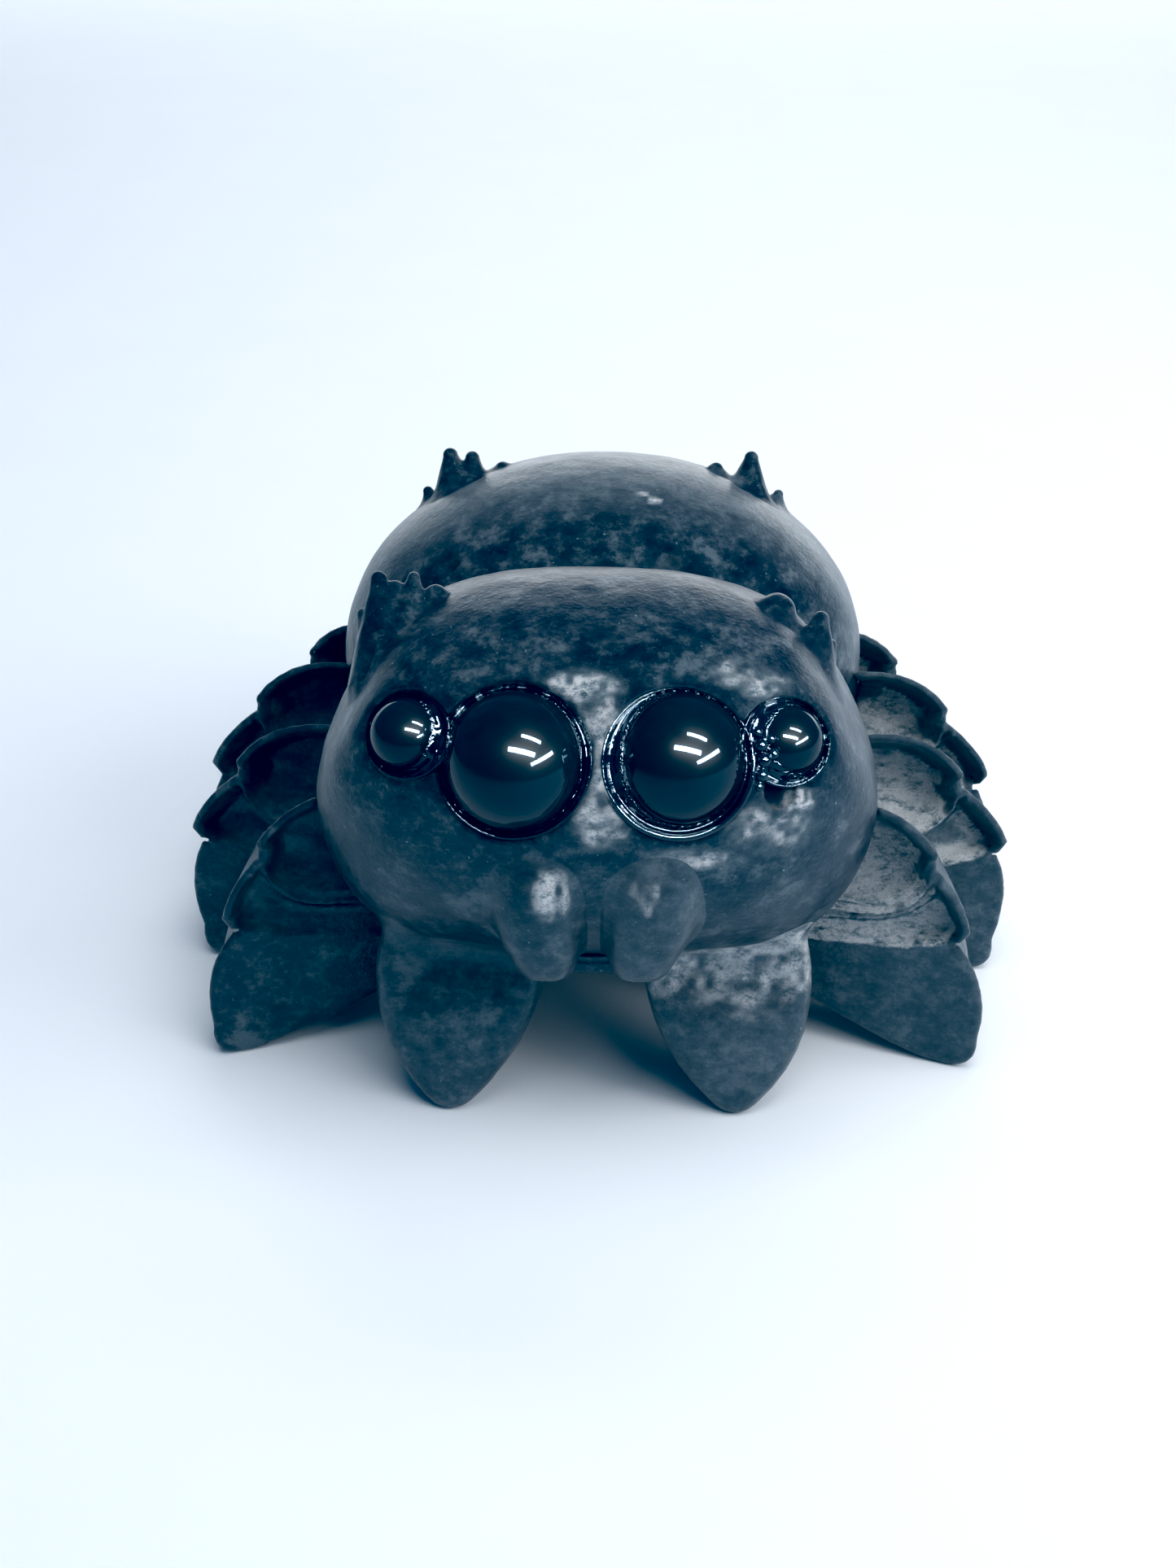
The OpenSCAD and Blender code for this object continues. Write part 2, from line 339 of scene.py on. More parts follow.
def stained(tree, where, streaks, grains):
    """Dark stain with cloudy handling marks, worn streaks and pale specks that are painted glints."""
    clouds = noise_node(tree, where, 2.8, 8.0, 0.74, (1.0, 1.0, 1.2))
    stain = ramp(
        tree,
        clouds,
        [
            (0.36, (0.001, 0.003, 0.009)),
            (0.48, (0.009, 0.013, 0.023)),
            (0.55, (0.022, 0.028, 0.039)),
            (0.63, (0.072, 0.088, 0.104)),
        ],
    )
    worn = ramp(tree, streaks, [(0.52, BLACK), (0.70, (0.7, 0.7, 0.7))])
    colour = mix(tree, worn, stain, (0.085, 0.102, 0.118, 1.0))
    # Pale specks on the grain: painted glints, fine points of light.
    painted_glints = ramp(tree, grains, [(0.72, BLACK), (0.80, (0.8, 0.8, 0.8))])
    return mix(tree, painted_glints, colour, (0.21, 0.27, 0.31, 1.0))


def wood_material():
    """Dark stained hardwood that pales, then tears into flakes, as its share of raw wood and painted
    light grows. The flakes' near-white colour is painted glints."""
    material, tree, out = shader("carved_wood")
    where = node(tree, "ShaderNodeTexCoord").outputs["Object"]
    raw_and_lit = node(tree, "ShaderNodeAttribute", attribute_name="raw_wood_and_painted_light").outputs["Fac"]
    streaks = noise_node(tree, where, 1.1, 7.0, 0.78, (0.85, 1.0, 1.15))
    grains = noise_node(tree, where, 0.30, 2.0, 0.5)
    colour = stained(tree, where, streaks, grains)
    paled = ramp(tree, raw_and_lit, [(0.0, BLACK), (0.15, (0.6, 0.6, 0.6))])
    paled = faded(tree, paled, 0.4, ramp(tree, streaks, [(0.38, BLACK), (0.60, WHITE)]))
    colour = mix(tree, paled, colour, (0.110, 0.130, 0.145, 1.0))

    # Near-white flakes: painted glints where the raw wood catches the light.
    flakes = noise_node(tree, where, 0.85, 8.0, 0.80, (0.65, 1.0, 1.25), 0.2)
    flake_glint_stops = [(0.36, (0.05, 0.075, 0.10)), (0.44, (0.40, 0.46, 0.50)), (0.52, (0.97, 0.98, 0.99))]
    gaps = noise_node(tree, where, 0.5, 8.0, 0.85)
    torn_and_glinting = ramp(tree, raw_and_lit, [(0.15, BLACK), (0.75, WHITE)])
    torn_and_glinting = faded(tree, torn_and_glinting, 0.4, ramp(tree, gaps, [(0.42, BLACK), (0.50, WHITE)]))
    colour = mix(tree, torn_and_glinting, colour, ramp(tree, flakes, flake_glint_stops))
    tree.links.new(colour, out.inputs["Base Color"])
    gloss = ramp(tree, streaks, [(0.35, (0.30, 0.30, 0.30)), (0.70, (0.46, 0.46, 0.46))])
    tree.links.new(gloss, out.inputs["Roughness"])

    pores = noise_node(tree, where, 0.7, 4.0, 0.65)
    relief = bump(tree, pores, 0.10, 0.5)
    relief = bump(tree, grains, 0.05, 0.6, relief)
    relief = bump(tree, flakes, 1.0, torn_and_glinting, relief)
    tree.links.new(relief, out.inputs["Normal"])
    out.inputs["Specular IOR Level"].default_value = 0.5
    out.inputs["Specular Tint"].default_value = (0.30, 0.60, 0.80, 1.0)
    out.inputs["Coat Weight"].default_value = 0.12
    out.inputs["Coat Roughness"].default_value = 0.30
    out.inputs["Coat IOR"].default_value = 1.2
    return material


def bead_material():
    """Black glass bead with a crisp blue-black polish under a soft haze."""
    material, tree, out = shader("bead")
    where = node(tree, "ShaderNodeTexCoord").outputs["Object"]
    haze = noise_node(tree, where, 4.0, 2.0)
    colour = ramp(tree, haze, [(0.3, (0.0, 0.004, 0.008)), (0.7, (0.0, 0.009, 0.015))])
    tree.links.new(colour, out.inputs["Base Color"])
    out.inputs["Roughness"].default_value = 0.045
    out.inputs["Specular IOR Level"].default_value = 0.28
    out.inputs["Specular Tint"].default_value = (0.40, 0.65, 1.0, 1.0)
    out.inputs["Coat Weight"].default_value = 0.06
    out.inputs["Coat Roughness"].default_value = 0.34
    return material


def glue_material():
    """Cured clear glue, near black with patches of dark blue, and a wet ripple."""
    material, tree, out = shader("glue")
    where = node(tree, "ShaderNodeTexCoord").outputs["Object"]
    ripple = noise_node(tree, where, 1.1, 3.0)
    colour = ramp(tree, ripple, [(0.40, (0.0002, 0.003, 0.012)), (0.75, (0.004, 0.018, 0.032))])
    tree.links.new(colour, out.inputs["Base Color"])
    tree.links.new(bump(tree, ripple, 0.12, 0.4), out.inputs["Normal"])
    out.inputs["Roughness"].default_value = 0.06
    out.inputs["Specular IOR Level"].default_value = 0.45
    out.inputs["Specular Tint"].default_value = (0.60, 0.80, 1.0, 1.0)
    return material


def dowel_material():
    """Plain pale dowel, hidden at the waist."""
    material, tree, out = shader("dowel")
    where = node(tree, "ShaderNodeTexCoord").outputs["Object"]
    grain = noise_node(tree, where, 0.8, 5.0, 0.6, (1.0, 0.12, 1.0))
    colour = ramp(tree, grain, [(0.35, (0.20, 0.19, 0.17)), (0.70, (0.34, 0.32, 0.29))])
    tree.links.new(colour, out.inputs["Base Color"])
    tree.links.new(bump(tree, grain, 0.06, 0.5), out.inputs["Normal"])
    out.inputs["Roughness"].default_value = 0.7
    return material


WOOD = wood_material()
BEAD = bead_material()
GLUE = glue_material()
DOWEL = dowel_material()


# ---------------------------------------------------------------- head, abdomen and face
ACROSS = np.array([1.0, 0.0, 0.0])
ABOVE = np.cross(ACROSS, GAZE) * -1.0
# How each bead sits: set back along the gaze, moved across and up in its socket, room round it,
# and how far the glue lies below the wood
SEATS = {
    "eye_large_left": (0.0, 0.0, 0.0, 0.42, 0.80),
    "eye_large_right": (1.0, 0.05, 0.30, 0.25, 0.50),
    "eye_small_left": (0.0, 0.0, 0.0, 0.28, 0.55),
    "eye_small_right": (0.3, 0.0, 0.0, 0.32, 0.45),
}
SOCKETS = {}
BEADS = {}
for eye, (back, across, above, room, sunk) in SEATS.items():
    eye_low, eye_high = box_mm(eye)
    bead_mid = (eye_low + eye_high) / 2
    bead_r = (eye_high - eye_low).mean() / 2
    SOCKETS[eye] = (bead_mid, bead_r + room)
    BEADS[eye] = (bead_mid - back * GAZE + across * ACROSS + above * ABOVE, bead_r)


# The head's upper corners are pared to a slope: its direction across and up, and its distance
# out from the head's middle
CORNER = np.array([0.863, 0.506])
CORNER_OUT = 16.1
# Its cheeks are balls, placed as shares of the head's half sizes
CHEEK = np.array([0.56, -0.10, -0.42])
CHEEK_R = 6.6


def head_block(p):
    """The head without its sockets: a boxy egg with pared corners and full cheeks."""
    f = egg(p, HEAD_MID, HEAD_HALF, 2.3)
    slope = np.abs(p[:, 0]) * CORNER[0] + (p[:, 2] - HEAD_MID[2]) * CORNER[1] - CORNER_OUT
    f = meet(f, slope, 1.5)
    for side in SIDES.values():
        cheek = HEAD_MID + CHEEK * (side, 1, 1) * HEAD_HALF
        f = join(f, ball(p, cheek, CHEEK_R), 3.0)
    return f


def abdomen_block(p):
    return egg(p, ABDOMEN_MID, ABDOMEN_HALF, 2.1)


def on_block(block, start, along):
    """Where a line from start, going along, leaves a block."""
    inner, outer = np.asarray(start, float), np.asarray(start, float) + 30.0 * np.asarray(along)
    for _ in range(30):
        middle = (inner + outer) / 2
        if block(middle[None])[0] < 0:
            inner = middle
        else:
            outer = middle
    return inner


def on_face(eye, across, above):
    """A point of the head's surface, so far across and above an eye as seen along the gaze."""
    start = SOCKETS[eye][0] + across * ACROSS + above * ABOVE - 6.0 * GAZE
    return on_block(head_block, start, GAZE)


def on_back(x, y):
    """A point of the abdomen's upper surface."""
    return on_block(abdomen_block, (x, y, ABDOMEN_MID[2]), (0.0, 0.0, 1.0))


# A dark flaw under the right small eye, and a knife slip, a nick and a raw fleck on the abdomen
FLAW = on_face("eye_small_right", -0.35, -3.0)
SLIP_ENDS = on_back(3.0, -0.6), on_back(4.8, 1.6)
NICK = on_back(-11.1, 3.7)
FLECK = on_back(3.3, 7.4)


def off_axis(p, mid):
    """Distance along the gaze and away from it, from a point."""
    depth = (p - mid) @ GAZE
    return depth, np.linalg.norm(p - mid - depth[:, None] * GAZE, axis=-1)


def head_field(p):
    """The head with its sockets bored and its flaw sunk in."""
    f = head_block(p) + hand_cut(p)
    for mid, room_r in SOCKETS.values():
        depth, off = off_axis(p, mid)
        bore = np.maximum(off - room_r - 0.08 * np.maximum(depth, 0), -depth - room_r)
        f = meet(f, -bore, 0.4)
    depth, off = off_axis(p, FLAW)
    return meet(f, -np.maximum(off + 0.25 * noise(p, 1.0, 6.1) - 1.05, -depth - 1.3), 0.3)


def slip(p):
    """What the knife took away when it slipped."""
    return cone(p, SLIP_ENDS[0] + (0, 0, 0.7), SLIP_ENDS[1] + (0, 0, 0.7), 0.6, 1.0)


def abdomen_field(p):
    f = meet(abdomen_block(p) + hand_cut(p), -slip(p), 0.12)
    f = meet(f, -ball(p * (1, 1.3, 1), NICK * (1, 1.3, 1) + (0, 0, 0.5), 1.0), 0.15)
    return meet(f, -head_block(p) + 0.05, 0.2)


BEAD_DEEP = 0.94  # where a bead's flat back lies, as a share of its radius


def bead_field(eye):
    mid, r = BEADS[eye]

    def field(p):
        depth, _ = off_axis(p, mid)
        return meet(ball(p, mid, r), -depth - BEAD_DEEP * r, 0.3)

    return field


# Beads of spilt glue on the wood: across and above the right large eye, and radius
SPILLS = [(4.75, 2.0, 0.30), (4.95, 1.2, 0.42), (5.15, 0.3, 0.46), (5.05, -0.6, 0.40), (4.9, -1.3, 0.30)]
SPILLS += [(5.6, 1.6, 0.30), (5.75, 0.7, 0.34)]
GLUE_DISH = 0.45  # how far the glue's surface sags between the bead and the wood
GLUE_DEEP = 1.7


def glue_field(eye):
    """The dished ring of glue between a bead and its socket."""
    socket_mid, socket_r = SOCKETS[eye]
    bead_mid, bead_r = BEADS[eye]
    sunk = SEATS[eye][4]
    lumps = 0.05 if eye == "eye_large_right" else 0.13
    drops = [(on_face("eye_large_right", u, v), r) for u, v, r in SPILLS] if eye == "eye_small_right" else []
    lips = [(0.0, 0.20), (0.42, 0.12)] if eye == "eye_large_right" else [(0.0, 0.08)]

    def field(p):
        _, off = off_axis(p, socket_mid)
        bead = ball(p, bead_mid, bead_r)
        wall = off - socket_r
        to_bead, to_wall = np.maximum(bead, 0.0), np.maximum(-wall, 0.0)
        share = to_bead / (to_bead + to_wall + 1e-6)
        top = head_block(p) + sunk + GLUE_DISH * 4 * share * (1 - share) + lumps * noise(p, 0.8, 9.2)
        f = meet(meet(top, wall - 0.12, 0.1), -bead - 0.05, 0.06)
        f = meet(f, -head_block(p) - sunk - GLUE_DEEP, 0.1)
        for place, r in drops:
            f = join(f, ball(p, place, r), 0.12)
        low = ((p - socket_mid) @ (0.35 * ACROSS - ABOVE)) / socket_r
        for inset, r in lips:
            lip = np.hypot(wall + inset, head_block(p) + inset) - r * smooth_step(low * 2.0 + 0.2)
            f = join(f, lip, 0.08)
        return np.maximum(f, -bead - 0.05)

    return field


def grown_on(shape, base, fillet):
    """A shape that flares into the base it is glued to, without the base itself."""
    f = join(shape, base + 0.04, fillet)
    return np.maximum(np.maximum(f, -base - 0.45), shape - 0.9 * fillet)


JAW_MID = np.array([3.35, -21.5, 16.6])
JAW_HALF = np.array([3.1, 4.15, 5.5])
JAW_END = 12.5
# The lobes narrow below this height, over this length and by this share
JAW_TAPER_FROM, JAW_TAPER_LONG, JAW_TAPER = 17.2, 5.2, 0.24


def jaw_field(side):
    """A jaw lobe, cut off flat below and kept clear of the other one."""
    def field(p):
        q = p * (side, 1, 1)
        low = smooth_step((JAW_TAPER_FROM - q[:, 2]) / JAW_TAPER_LONG)
        width = 1.0 - JAW_TAPER * low
        q[:, 0] = JAW_MID[0] + (q[:, 0] - JAW_MID[0] + 0.5 * low - 0.15) / width
        lobe = egg(q, JAW_MID, JAW_HALF, 2.7) * width
        lobe = meet(lobe, JAW_END - q[:, 2], 0.35)
        f = grown_on(lobe, head_block(p), 0.9) + 0.6 * hand_cut(p)
        return meet(f, 0.15 - side * p[:, 0], 0.6)

    return field


mouth_low, mouth_high = box_mm("mouth_plate")
MOUTH_MID = (mouth_low + mouth_high) / 2
MOUTH_HALF = (mouth_high - mouth_low) / 2


def mouth_field(p):
    """A flat under-lip with two cut lines across its front."""
    q = np.abs(p - MOUTH_MID) - MOUTH_HALF + 0.5
    f = np.linalg.norm(np.maximum(q, 0.0), axis=-1) + np.minimum(q.max(-1), 0.0) - 0.5
    for height in (0.15, 0.75):
        cut = np.abs(p[:, 2] - (MOUTH_MID[2] + height + 0.03 * p[:, 0] ** 2)) - 0.07
        f = np.where(p[:, 1] < MOUTH_MID[1], meet(f, -cut - 0.35 * smooth_step(-f / 0.5), 0.2), f)
    f = meet(f, -head_block(p) + 0.05, 0.2)
    return f + 0.5 * hand_cut(p)


# ---------------------------------------------------------------- legs
# For each pair, front to rear: place of the root, turn about the root, depth front to back, reach
# to the low knee, how far the toe stands out past it, and how far the high knee lies within it
LEG_ROOT_X = 12.0
LEG_ROOT_Y = (-11.2, -3.5, 6.1, 11.2)
LEG_TURN = (-18.0, 0.0, 0.0, 15.0)
LEG_DEEP = (6.2, 7.8, 6.0, 6.4)
LEG_REACH = (13.7, 17.3, 17.35, 13.8)
LEG_FOOT_OUT = (1.2, -0.5, -0.4, 0.2)
LEG_KNEE_BACK = (2.7, 3.7, 3.7, 2.6)
KNEE_HEIGHT, LOW_KNEE_HEIGHT = 15.9, 10.3
RIM_WIDE = 0.25
# The scoops of the upper and middle plates: depth, and how far from the rim they reach it
SCOOPS = ((2.4, 1.7), (2.0, 1.5))
# Ridges along the crease between those plates: how far off it, and how wide and high
CREASE_RIDGES = ((0.0, 0.30), (0.75, 0.22))


def line_field(u, w, points):
    """Distance from points (u, w) to an open line."""
    pts = np.asarray(points, float)
    best = np.full(u.shape, 1e9)
    for (ax, ay), (bx, by) in zip(pts[:-1], pts[1:]):
        ex, ey = bx - ax, by - ay
        t = np.clip(((u - ax) * ex + (w - ay) * ey) / (ex * ex + ey * ey + 1e-12), 0.0, 1.0)
        best = np.minimum(best, (u - ax - ex * t) ** 2 + (w - ay - ey * t) ** 2)
    return np.sqrt(best)


def scoop(u, w, rim, shore, steep):
    """Depth share of a scoop: steep under its rim, then rising evenly to its shore."""
    from_rim = line_field(u, w, rim)
    to_shore = line_field(u, w, shore)
    rest = to_shore / (from_rim + to_shore + 1e-6)
    return smooth_step((from_rim - RIM_WIDE) / steep) * smooth_step(rest * 1.5)


def leg_plates(pair):
    """Outlines of a leg's three plates and their backing in its own plane (outwards, up), and its
    rims and shores."""
    reach = LEG_REACH[pair]
    knee = np.array([reach - LEG_KNEE_BACK[pair], KNEE_HEIGHT])
    low_knee = np.array([reach, LOW_KNEE_HEIGHT])
    toe = np.array([reach - 0.6 + LEG_FOOT_OUT[pair], 0.0])
    crease = arch(knee - (0.1, 0.9), (knee[0] - 4.4, 10.7), 1.2)
    top_rim = [np.array((-3, 17.4))] + arch((knee[0] - 6.4, 18.9), knee, 1.0)
    upper = top_rim + crease + [(-3, 10.0)]
    side_rim = arch(knee - (0.35, 0.9), low_knee, 0.5)
    middle = [(-3, 10.0)] + crease[::-1] + side_rim
    middle += arch(low_knee - (0.6, 0.9), (low_knee[0] - 4.4, 8.3), -0.2) + [(-3, 6.7)]
    lower = [(-3, 6.9), (low_knee[0] - 4.0, 8.3)] + arch(low_knee - (0.7, 1.1), toe + (0.7, 2.4), 0.8)
    lower += arch(toe + (0.7, 2.4), toe - (1.6, 0.1), 1.0)
    lower += arch(toe - (1.8, 0.1), (3.6, 2.9), 0.2) + [(-3, 3.4)]
    backing = [(-3, 16.8), knee - (5.5, 0.0), knee - (1.0, 1.0), low_knee - (1.1, 0.2), low_knee - (1.1, 1.8)]
    backing += [toe + (-0.2, 2.4), toe - (2.0, -0.8), (3.6, 3.6), (-3, 4.0)]
    low_shore = [(-3, 6.7), (low_knee[0] - 4.0, 7.7), low_knee - (0.6, 1.7)]
    rims = top_rim + [knee - (0.3, 1.2)], side_rim + [low_knee - (0.5, 1.2)]
    return (upper, middle, lower, backing), rims, (crease + [(-3, 9.6)], low_shore)


def leg_field(pair, side):
    """A leg's field, and its share of raw wood and painted light: painted bright in the right legs' up-facing
    scoops as light from the right and above, near none left.
    """
    outlines, rims, shores = leg_plates(pair)
    turn = math.radians(LEG_TURN[pair])

    def parts(p):
        x = p[:, 0] * side - LEG_ROOT_X
        y = p[:, 1] - LEG_ROOT_Y[pair]
        u = x * math.cos(turn) + y * math.sin(turn)
        ahead = x * math.sin(turn) - y * math.cos(turn)
        w = p[:, 2]
        ahead = ahead - 0.9 * smooth_step((8 - w) / 8)
        w = w + 0.18 * np.maximum(-ahead - 0.3, 0.0) * smooth_step((w - 5.0) / 4.0)
        plates = [outline_field(u, w, outline) for outline in outlines]
        upper, middle = (
            deep * scoop(u, w, rim, shore, steep) for (deep, steep), rim, shore in zip(SCOOPS, rims, shores)
        )
        hollow = upper * (plates[0] < 0.0) + middle * smooth_step(-plates[1] / 0.5)
        from_crease = line_field(u, w, shores[0])
        for off, wide in CREASE_RIDGES:
            hollow -= wide * np.exp(-(((from_crease - off) / wide) ** 2))
        return u, w, ahead, plates, hollow

    def field(p):
        _, _, ahead, plates, hollow = parts(p)
        edge = join(join(plates[0], plates[1], 0.25), plates[2], 0.25)
        edge = np.minimum(edge + 0.5 * np.maximum(-ahead - 0.4, 0.0), plates[3])
        f = meet(edge, ahead + hollow, 0.5)
        f = meet(f, -ahead - LEG_DEEP[pair], 2.4)
        f = f + hand_cut(p)
        if pair <= 1:
            f = meet(f, -head_block(p) + 0.08, 0.3)
        if pair >= 1:
            f = meet(f, -abdomen_block(p) + 0.05, 0.3)
        return meet(f, GROUND - p[:, 2], 0.3)

    def raw_and_lit_share(p, slope):
        u, w, ahead, plates, hollow = parts(p)
        up = slope[:, 2] / np.maximum(np.linalg.norm(slope, axis=-1), 1e-6)
        inside = smooth_step(plates[2] / 0.4) * smooth_step((ahead + hollow + 0.9) / 0.4)
        from_rim = np.minimum(line_field(u, w, rims[0]), line_field(u, w, rims[1]))
        inside *= smooth_step((from_rim - 1.0 - 0.6 * noise(p, 1.2, 7.7)) / 0.9)
        patches = 0.2 + 0.8 * smooth_step((noise(p, 1.5, 3.3) + 0.7) / 0.6)
        # Painted light: the share grows on up-facing faces, and stays bright on the right legs and near
        # nothing on the left, as light falls from the right.
        share = inside * smooth_step((up + 0.15) / 0.3) * patches
        return np.maximum(share, 0.10) if side > 0 else np.maximum(0.08 * share, 0.02)

    return field, raw_and_lit_share


# ---------------------------------------------------------------- front limbs
PALP_X, PALP_Y, PALP_LEAN = 9.45, -22.4, math.radians(14)
PALP_DEEP = 5.6
PALP_HOLLOW = 0.7


def palp_field(side):
    """A front limb's field, and its share of raw wood and painted light, painted pale with glints on the
    right limb as light from the right. Its blade's outline runs from the tip.
    """
    blade = arch((1.5, 0.72), (-1.5, 0.75), 0.72) + arch((-1.5, 0.75), (-6.25, 9.6), 0.85)
    blade += arch((-6.25, 10.0), (-3.0, 14.5), 0.6) + arch((2.5, 15.0), (4.95, 9.2), 0.7)
    blade += arch((4.95, 9.0), (1.5, 0.72), 0.95)

    def parts(p):
        x = p[:, 0] * side - PALP_X
        y = p[:, 1] - PALP_Y
        ahead = -y * math.cos(PALP_LEAN) + p[:, 2] * math.sin(PALP_LEAN)
        w = p[:, 2] * math.cos(PALP_LEAN) + y * math.sin(PALP_LEAN)
        d = outline_field(x, w, blade)
        hollow = PALP_HOLLOW * smooth_step((-d - 0.3) / 2.6) * smooth_step((w - 6.8) / 3.5)
        return x, w, ahead, d, hollow

    def field(p):
        x, w, ahead, d, hollow = parts(p)
        crown = 0.022 * x * x + 0.5 * smooth_step((w - 9) / 5)
        f = meet(d, ahead + crown + hollow, 1.3)
        f = meet(f, -ahead - PALP_DEEP, 2.0)
        f = grown_on(f, head_block(p), 1.4) + 0.8 * hand_cut(p)
        return meet(f, GROUND - p[:, 2], 0.35)

    def raw_and_lit_share(p, slope):
        _, w, *_ = parts(p)
        share = smooth_step((w - 5.5 - 1.4 * noise(p, 2.2, 5.5)) / 5.0) * (0.85 + 0.6 * noise(p, 0.6, 8.3))
        # Painted light: the right limb's share is far stronger, as if lit from the right.
        return np.maximum(share * (0.38 if side > 0 else 0.05), 0.13 if side > 0 else 0.08)

    return field, raw_and_lit_share


# ---------------------------------------------------------------- tufts
# Spikes of each tuft: foot, point, radius at the foot and at the point. Scoops are cut from its
# front: low end, high end, radius at each.
TUFTS = {
    "head_tuft_left": (
        [
            ((-13.6, -12.4, 27.0), (-14.2, -9.4, 32.9), 2.6, 0.55),
            ((-13.2, -12.4, 27.4), (-13.1, -9.4, 32.3), 2.4, 0.60),
            ((-12.4, -12.2, 27.8), (-12.0, -9.2, 33.0), 2.3, 0.50),
            ((-13.9, -12.0, 26.2), (-15.2, -10.0, 30.7), 1.9, 0.45),
            ((-11.4, -11.4, 28.9), (-10.6, -9.6, 32.0), 1.8, 0.70),
        ],
        [
            ((-13.6, -15.2, 29.0), (-13.2, -11.9, 34.2), 0.45, 0.80),
            ((-12.5, -15.2, 29.6), (-11.7, -11.8, 34.0), 0.35, 0.60),
            ((-13.9, -16.2, 26.8), (-13.5, -15.0, 29.0), 0.40, 1.10),
            ((-14.8, -14.5, 27.2), (-14.6, -12.3, 32.0), 0.40, 0.60),
        ],
    ),
    "head_tuft_right": (
        [
            ((11.7, -12.0, 28.0), (11.3, -10.0, 31.3), 2.3, 1.3),
            ((13.4, -12.0, 26.8), (14.2, -10.0, 30.9), 2.2, 0.55),
            ((13.7, -11.6, 25.8), (14.9, -10.0, 29.1), 1.8, 0.45),
        ],
        [
            ((12.8, -14.8, 28.8), (12.9, -12.1, 32.6), 0.40, 0.60),
            ((14.2, -14.4, 27.6), (15.0, -12.0, 31.0), 0.35, 0.55),
            ((13.3, -15.8, 27.0), (13.1, -14.6, 29.0), 0.45, 1.10),
        ],
    ),
    "abdomen_tuft_left": (
        [
            ((-10.8, 13.6, 27.6), (-11.5, 15.2, 31.8), 2.6, 0.55),
            ((-10.0, 13.6, 28.0), (-9.9, 15.2, 31.6), 2.3, 0.50),
            ((-8.6, 13.8, 28.4), (-7.7, 15.2, 30.9), 1.9, 0.45),
            ((-12.2, 14.0, 26.2), (-13.3, 15.2, 28.9), 2.0, 0.40),
        ],
        [
            ((-12.4, 10.9, 28.0), (-12.3, 12.2, 32.6), 0.7, 0.8),
            ((-10.8, 10.6, 29.4), (-10.7, 12.4, 33.0), 0.5, 0.6),
        ],
    ),
    "abdomen_tuft_right": (
        [
            ((10.4, 13.6, 27.8), (10.8, 15.2, 31.9), 2.6, 0.50),
            ((8.8, 13.8, 28.4), (8.2, 15.2, 31.0), 2.1, 0.50),
            ((12.0, 14.0, 26.4), (12.9, 15.2, 29.1), 2.0, 0.40),
        ],
        [
            ((12.0, 10.9, 28.0), (11.9, 12.2, 32.6), 0.7, 0.8),
            ((9.5, 10.6, 29.4), (9.5, 12.4, 33.0), 0.6, 0.7),
        ],
    ),
}


def tuft_field(name):
    """Spikes with scoops cut between them, grown on the head or the abdomen."""
    spikes, scoops = TUFTS[name]
    block = head_block if name.startswith("head") else abdomen_block

    def field(p):
        f = np.full(len(p), 1e9)
        for foot, tip, foot_r, tip_r in spikes:
            f = join(f, cone(p, foot, tip, foot_r, tip_r), 0.3)
        for low, high, low_r, high_r in scoops:
            f = meet(f, -cone(p, low, high, low_r, high_r), 0.12)
        f = f + 0.10 * noise(p * (1, 1, 0.35), 0.9, 2.2)
        return grown_on(f, block(p), 0.7) + 0.6 * hand_cut(p)

    return field


def spikes_box(name):
    """The room of a tuft."""
    both = np.array([end for spike in TUFTS[name][0] for end in spike[:2]])
    return both.min(0) - 4.0, both.max(0) + 4.0


# ---------------------------------------------------------------- making the pieces
# Mesh spacing of each kind of piece, and of a bead as parts of its radius
PITCH = {"head": 0.25, "abdomen": 0.34, "mouth": 0.14, "jaw": 0.18, "limb": 0.22, "tuft": 0.15, "glue": 0.10}
BEAD_STEPS = 36


def grow(node_name, by):
    """The room of a CAD node, wider by so much on every side."""
    low, high = box_mm(node_name)
    return low - by, high + by


def around(middle, reach):
    return middle - reach, middle + reach


# Raw patches on the face, painted pale with glints as highlights: eye they are near, across, above, half
# width, half height, strength
FACE_MARKS = [
    ("eye_large_left", 4.1, 4.5, 2.2, 0.9, 0.45),
    ("eye_large_left", 5.1, 2.3, 1.3, 2.2, 0.40),
    ("eye_large_left", 5.3, -0.6, 1.0, 2.4, 0.34),
    ("eye_large_left", 5.4, -3.4, 1.7, 1.6, 0.45),
    ("eye_large_right", 3.6, 5.6, 1.6, 0.9, 0.30),
    ("eye_large_right", 5.2, 5.0, 1.6, 0.9, 0.35),
    ("eye_large_right", 1.2, -5.8, 2.6, 0.6, 0.33),
    ("eye_large_right", 5.6, -3.8, 2.6, 1.4, 0.28),
    ("eye_small_right", 0.8, -3.5, 1.0, 0.6, 0.8),
]


def face_raw_and_glints(p, slope):
    """Unpolished, glue-smeared wood round the sockets, painted pale with glints as highlights."""
    u, v = p @ ACROSS, p @ ABOVE
    share = np.zeros(len(p))
    for eye, across, above, half_u, half_v, strength in FACE_MARKS:
        mid = SOCKETS[eye][0]
        far = np.hypot((u - mid @ ACROSS - across) / half_u, (v - mid @ ABOVE - above) / half_v)
        share = np.maximum(share, strength * smooth_step((1.5 - far) / 1.0))
    share *= p[:, 1] < HEAD_MID[1]
    return share * (0.8 + 0.8 * noise(p, 0.5, 1.3))


